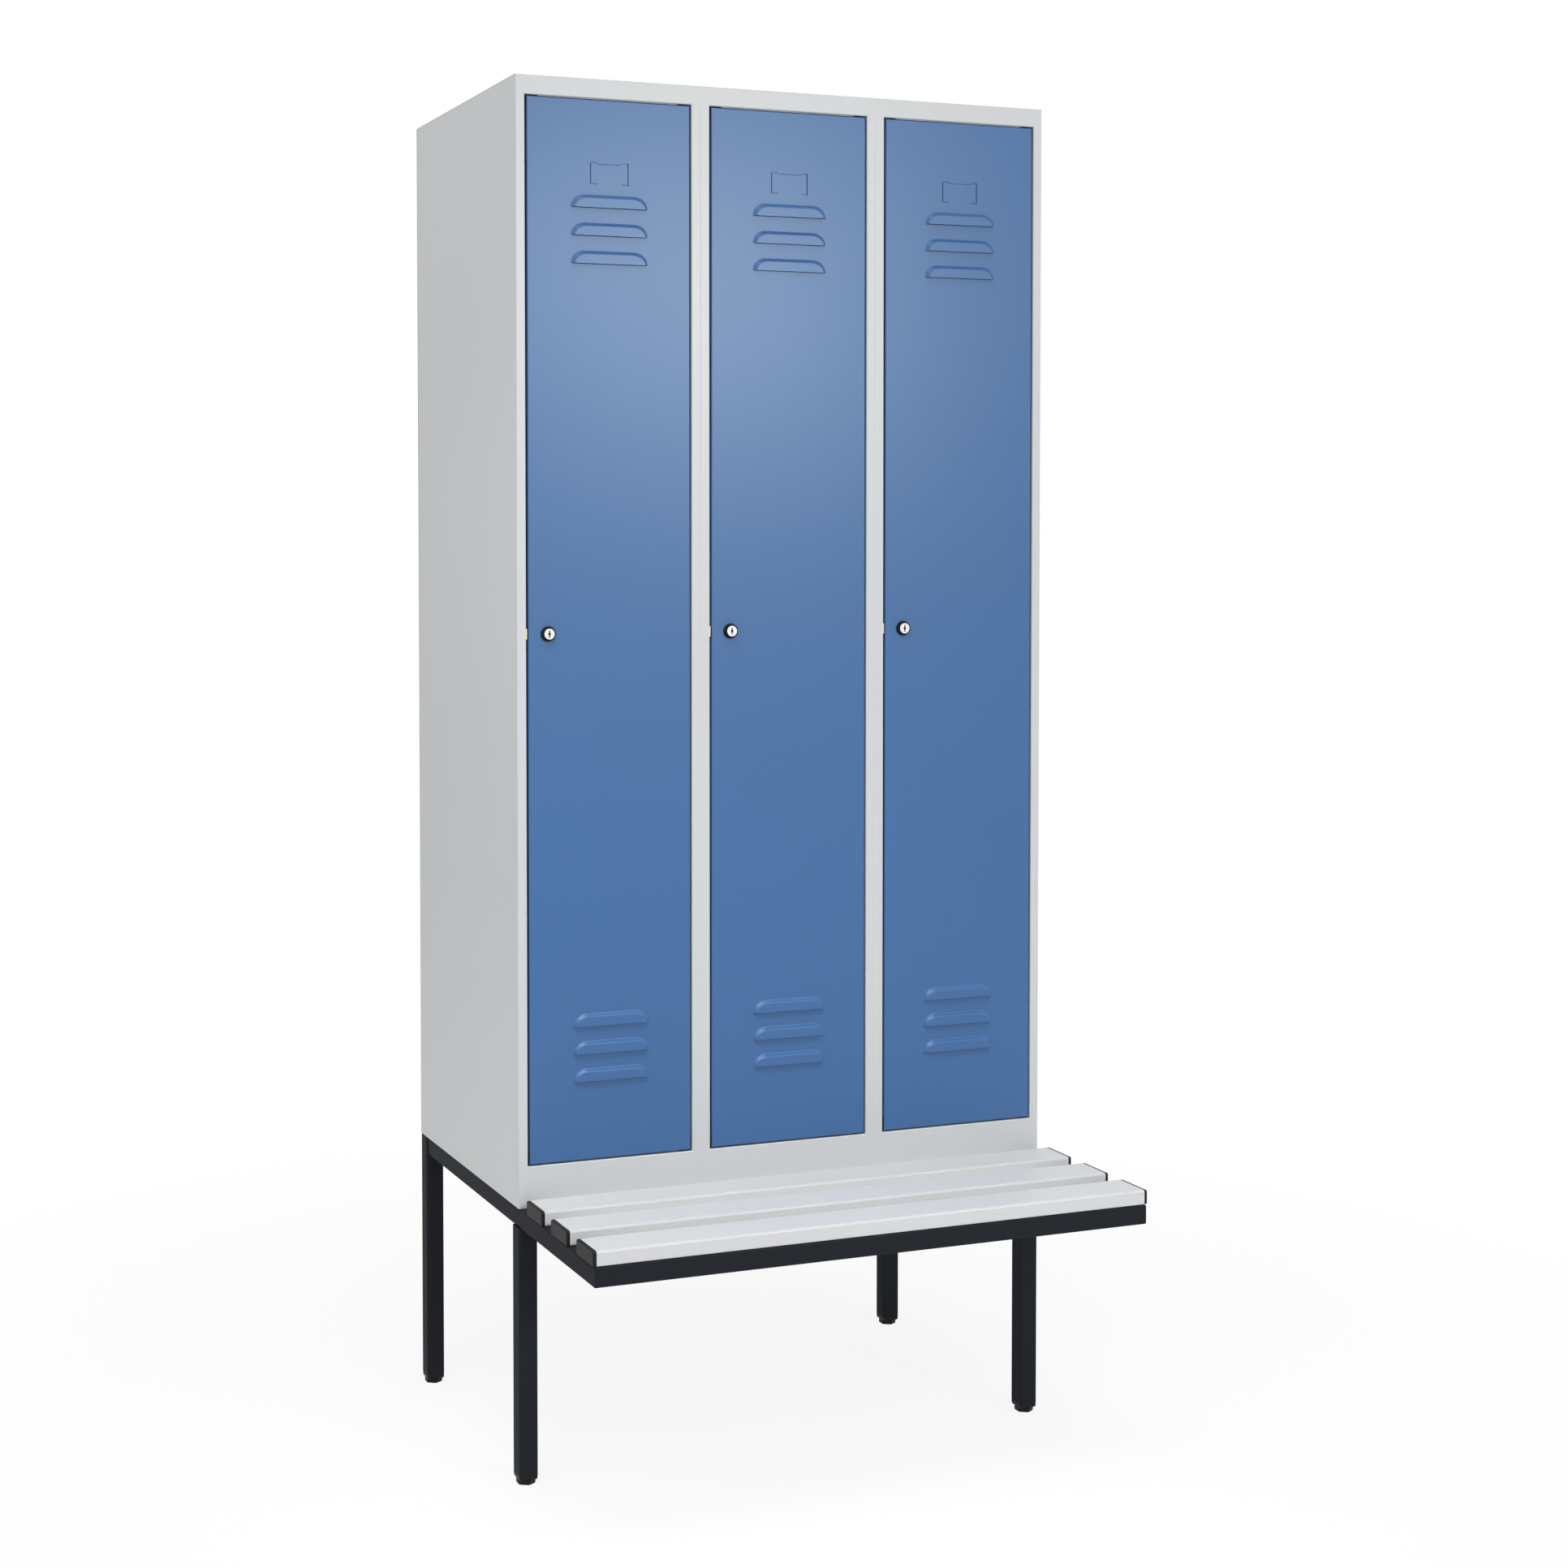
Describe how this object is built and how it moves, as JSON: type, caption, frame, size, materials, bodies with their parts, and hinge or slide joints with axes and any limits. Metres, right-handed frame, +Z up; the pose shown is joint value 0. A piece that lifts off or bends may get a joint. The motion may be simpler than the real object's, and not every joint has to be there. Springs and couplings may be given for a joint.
{
  "type": "locker with bench",
  "caption": "Tall sheet-steel locker with narrow louvred doors, hat shelves and coat rails, on a square-tube underframe that carries a slatted bench in front.",
  "frame": {"origin": "on the floor, at the centre of the whole footprint, from the carcass's back to the bench's front", "axes": "+Z up, +X to the right of someone facing the doors, +Y from the bench to the back panel, so the doors face -Y"},
  "size_m": [0.9, 0.81, 2.1243],
  "materials": {
    "body_grey": "satin powder coat",
    "door_blue": "satin powder coat",
    "frame_black": "satin powder coat",
    "slat_grey": "satin powder coat",
    "black_plastic": "matt moulded",
    "zinc": "bright zinc",
    "yellow_zinc": "yellow zinc",
    "nickel": "nickel plated"
  },
  "bodies": {
    "carcass": {"side_panel_left": "body_grey", "side_panel_right": "body_grey", "divider_1": "body_grey", "divider_2": "body_grey", "back_panel": "body_grey", "top_panel": "body_grey", "floor_panel": "body_grey", "hat_shelf_1": "body_grey", "hat_shelf_2": "body_grey", "hat_shelf_3": "body_grey", "coat_rail_1": "zinc", "coat_rail_2": "zinc", "coat_rail_3": "zinc", "strike_plate_1": "yellow_zinc", "strike_plate_2": "yellow_zinc", "strike_plate_3": "yellow_zinc", "leg_front_left": "frame_black", "leg_front_right": "frame_black", "leg_rear_left": "frame_black", "leg_rear_right": "frame_black", "side_rail_left": "frame_black", "side_rail_right": "frame_black", "bench_front_rail": "frame_black", "front_cross_rail": "frame_black", "rear_cross_rail": "frame_black", "rail_connector_left": "black_plastic", "rail_connector_right": "black_plastic", "leg_plug_front_left": "black_plastic", "leg_plug_front_right": "black_plastic", "leg_plug_rear_left": "black_plastic", "leg_plug_rear_right": "black_plastic", "bench_slat_front": "slat_grey", "bench_slat_middle": "slat_grey", "bench_slat_rear": "slat_grey", "slat_end_cap_front_left": "black_plastic", "slat_end_cap_front_right": "black_plastic", "slat_end_cap_middle_left": "black_plastic", "slat_end_cap_middle_right": "black_plastic", "slat_end_cap_rear_left": "black_plastic", "slat_end_cap_rear_right": "black_plastic"},
    "door_1": {"door_1": "door_blue", "door_stiffener_1": "door_blue", "lock_housing_1": "black_plastic"},
    "lock_1": {"lock_cylinder_1": "nickel", "lock_cam_1": "zinc"},
    "door_2": {"door_2": "door_blue", "door_stiffener_2": "door_blue", "lock_housing_2": "black_plastic"},
    "lock_2": {"lock_cylinder_2": "nickel", "lock_cam_2": "zinc"},
    "door_3": {"door_3": "door_blue", "door_stiffener_3": "door_blue", "lock_housing_3": "black_plastic"},
    "lock_3": {"lock_cylinder_3": "nickel", "lock_cam_3": "zinc"},
    "foot_front_left": {"foot_front_left": "black_plastic"},
    "foot_rear_left": {"foot_rear_left": "black_plastic"},
    "foot_front_right": {"foot_front_right": "black_plastic"},
    "foot_rear_right": {"foot_rear_right": "black_plastic"}
  },
  "joints": [
    {"name": "door_1_hinge", "type": "hinge", "parent": "carcass", "child": "door_1", "pos_m": [-0.17875, -0.087, 1.2913], "axis": [0, 0, 1], "range_deg": [0, 110]},
    {"name": "lock_1_turn", "type": "hinge", "parent": "door_1", "child": "lock_1", "pos_m": [-0.40025, -0.095, 1.2913], "axis": [0, -1, 0], "range_deg": [0, 90]},
    {"name": "door_2_hinge", "type": "hinge", "parent": "carcass", "child": "door_2", "pos_m": [0.12125, -0.087, 1.2913], "axis": [0, 0, 1], "range_deg": [0, 110]},
    {"name": "lock_2_turn", "type": "hinge", "parent": "door_2", "child": "lock_2", "pos_m": [-0.10025, -0.095, 1.2913], "axis": [0, -1, 0], "range_deg": [0, 90]},
    {"name": "door_3_hinge", "type": "hinge", "parent": "carcass", "child": "door_3", "pos_m": [0.42125, -0.087, 1.2913], "axis": [0, 0, 1], "range_deg": [0, 110]},
    {"name": "lock_3_turn", "type": "hinge", "parent": "door_3", "child": "lock_3", "pos_m": [0.19975, -0.095, 1.2913], "axis": [0, -1, 0], "range_deg": [0, 90]},
    {"name": "foot_front_left_screw", "type": "slide", "parent": "carcass", "child": "foot_front_left", "axis": [0, 0, -1], "range_m": [0, 0.012]},
    {"name": "foot_rear_left_screw", "type": "slide", "parent": "carcass", "child": "foot_rear_left", "axis": [0, 0, -1], "range_m": [0, 0.012]},
    {"name": "foot_front_right_screw", "type": "slide", "parent": "carcass", "child": "foot_front_right", "axis": [0, 0, -1], "range_m": [0, 0.012]},
    {"name": "foot_rear_right_screw", "type": "slide", "parent": "carcass", "child": "foot_rear_right", "axis": [0, 0, -1], "range_m": [0, 0.012]}
  ]
}
